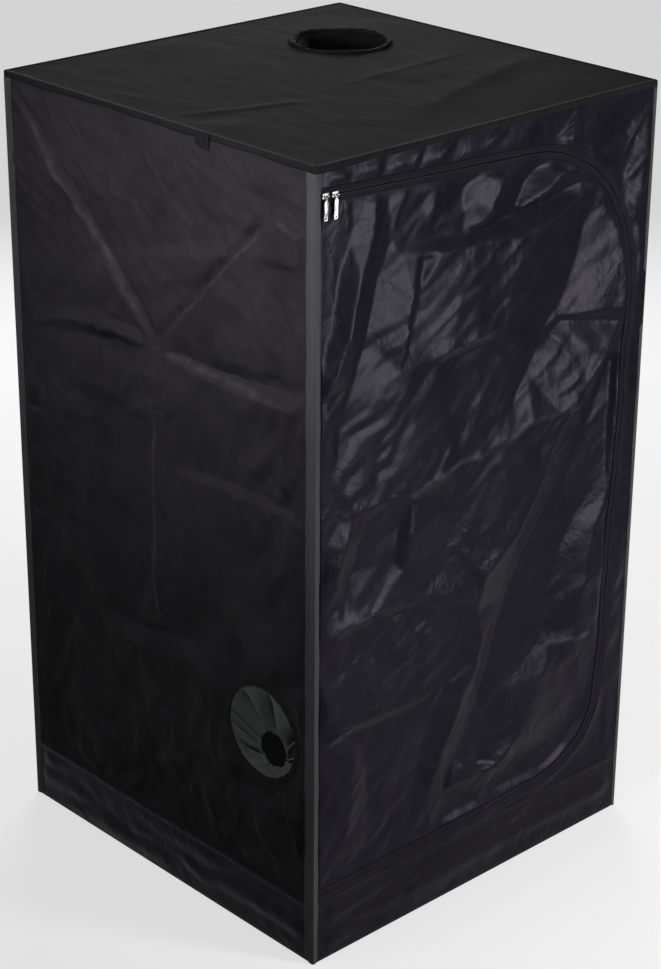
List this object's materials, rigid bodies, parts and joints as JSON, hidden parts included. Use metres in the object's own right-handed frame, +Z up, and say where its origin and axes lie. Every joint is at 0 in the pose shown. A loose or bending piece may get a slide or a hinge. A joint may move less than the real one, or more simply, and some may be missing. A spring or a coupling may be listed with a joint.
{
  "type": "indoor grow tent",
  "caption": "Box-shaped indoor grow tent: black cloth skin on a pole frame, with a zipped door, duct ports low on the left and in the roof, and a base tub with a loose tray.",
  "frame": {"origin": "on the floor under the middle of the tent, on the underside of the base tub", "axes": "+Z up; -Y out of the front, which holds the zipped door; -X out of the side with the duct port, on which the door is sewn"},
  "size_m": [1.0134, 1.0159, 1.813],
  "materials": {
    "wall_cloth": "coated black oxford cloth, dull",
    "door_cloth": "coated black oxford cloth with a faint violet sheen",
    "roof_cloth": "coated black oxford cloth, matt",
    "base_cloth": "heavy coated waterproof cloth",
    "band_cloth": "heavy woven cloth band, stitched",
    "binding_tape": "woven webbing, matt black",
    "zip_tape": "woven zip tape with a nylon coil",
    "sleeve_cloth": "light black cloth, gathered",
    "zip_metal": "bright plated metal",
    "pole_paint": "white powder coat, satin",
    "corner_plastic": "moulded black plastic, satin",
    "tray_cloth": "silver laminated cloth"
  },
  "bodies": {
    "root": {"base_tub": "base_cloth", "floor_tray": "tray_cloth", "rail_bottom_front": "pole_paint", "rail_bottom_back": "pole_paint", "rail_bottom_left": "pole_paint", "rail_bottom_right": "pole_paint", "rail_top_front": "pole_paint", "rail_top_back": "pole_paint", "rail_top_left": "pole_paint", "rail_top_right": "pole_paint", "upright_lower_front_left": "pole_paint", "upright_lower_front_right": "pole_paint", "upright_lower_back_left": "pole_paint", "upright_lower_back_right": "pole_paint", "upright_upper_front_left": "pole_paint", "upright_upper_front_right": "pole_paint", "upright_upper_back_left": "pole_paint", "upright_upper_back_right": "pole_paint", "corner_block_bottom_front_left": "corner_plastic", "corner_block_bottom_front_right": "corner_plastic", "corner_block_bottom_back_left": "corner_plastic", "corner_block_bottom_back_right": "corner_plastic", "corner_block_top_front_left": "corner_plastic", "corner_block_top_front_right": "corner_plastic", "corner_block_top_back_left": "corner_plastic", "corner_block_top_back_right": "corner_plastic", "wall_left": "wall_cloth", "wall_right": "wall_cloth", "wall_back": "wall_cloth", "roof_panel": "roof_cloth", "front_surround": "door_cloth", "corner_band_front_left": "band_cloth", "corner_band_front_right": "band_cloth", "corner_band_back_left": "band_cloth", "corner_band_back_right": "band_cloth", "roof_edge_binding": "binding_tape", "roof_edge_tab": "binding_tape", "zip_tape_surround": "zip_tape", "side_port_hem": "sleeve_cloth", "side_port_sleeve": "sleeve_cloth", "roof_port_rim": "sleeve_cloth", "roof_port_sleeve": "sleeve_cloth"},
    "door": {"door_panel": "door_cloth", "zip_tape_door": "zip_tape"},
    "slider_trailing": {"zip_slider_trailing": "zip_metal"},
    "pull_trailing": {"zip_pull_trailing": "zip_metal"},
    "slider_leading": {"zip_slider_leading": "zip_metal"},
    "pull_leading": {"zip_pull_leading": "zip_metal"},
    "hanger_front": {"hanger_bar_front": "pole_paint", "hanger_clip_front_left": "corner_plastic", "hanger_clip_front_right": "corner_plastic"},
    "hanger_back": {"hanger_bar_back": "pole_paint", "hanger_clip_back_left": "corner_plastic", "hanger_clip_back_right": "corner_plastic"}
  },
  "joints": [
    {"name": "door_swing", "type": "hinge", "parent": "root", "child": "door", "pos_m": [-0.4857, -0.509, 0.955], "axis": [0, 0, -1], "range_deg": [0, 170]},
    {"name": "slider_trailing_run", "type": "slide", "parent": "door", "child": "slider_trailing", "axis": [0.9989, 0, -0.0475], "range_m": [0, 0.1]},
    {"name": "slider_leading_run", "type": "slide", "parent": "slider_trailing", "child": "slider_leading", "axis": [0.9989, 0, -0.0475], "range_m": [0, 0.4]},
    {"name": "pull_trailing_flap", "type": "hinge", "parent": "slider_trailing", "child": "pull_trailing", "pos_m": [-0.4779, -0.5062, 1.73963], "axis": [-0.9989, 0, 0.0475], "range_deg": [-4, 160]},
    {"name": "pull_leading_flap", "type": "hinge", "parent": "slider_leading", "child": "pull_leading", "pos_m": [-0.45193, -0.5062, 1.73839], "axis": [-0.9989, 0, 0.0475], "range_deg": [-4, 160]},
    {"name": "hanger_front_slide", "type": "slide", "parent": "root", "child": "hanger_front", "axis": [0, 1, 0], "range_m": [-0.22, 0.1]},
    {"name": "hanger_back_slide", "type": "slide", "parent": "root", "child": "hanger_back", "axis": [0, 1, 0], "range_m": [-0.09, 0.04]}
  ]
}
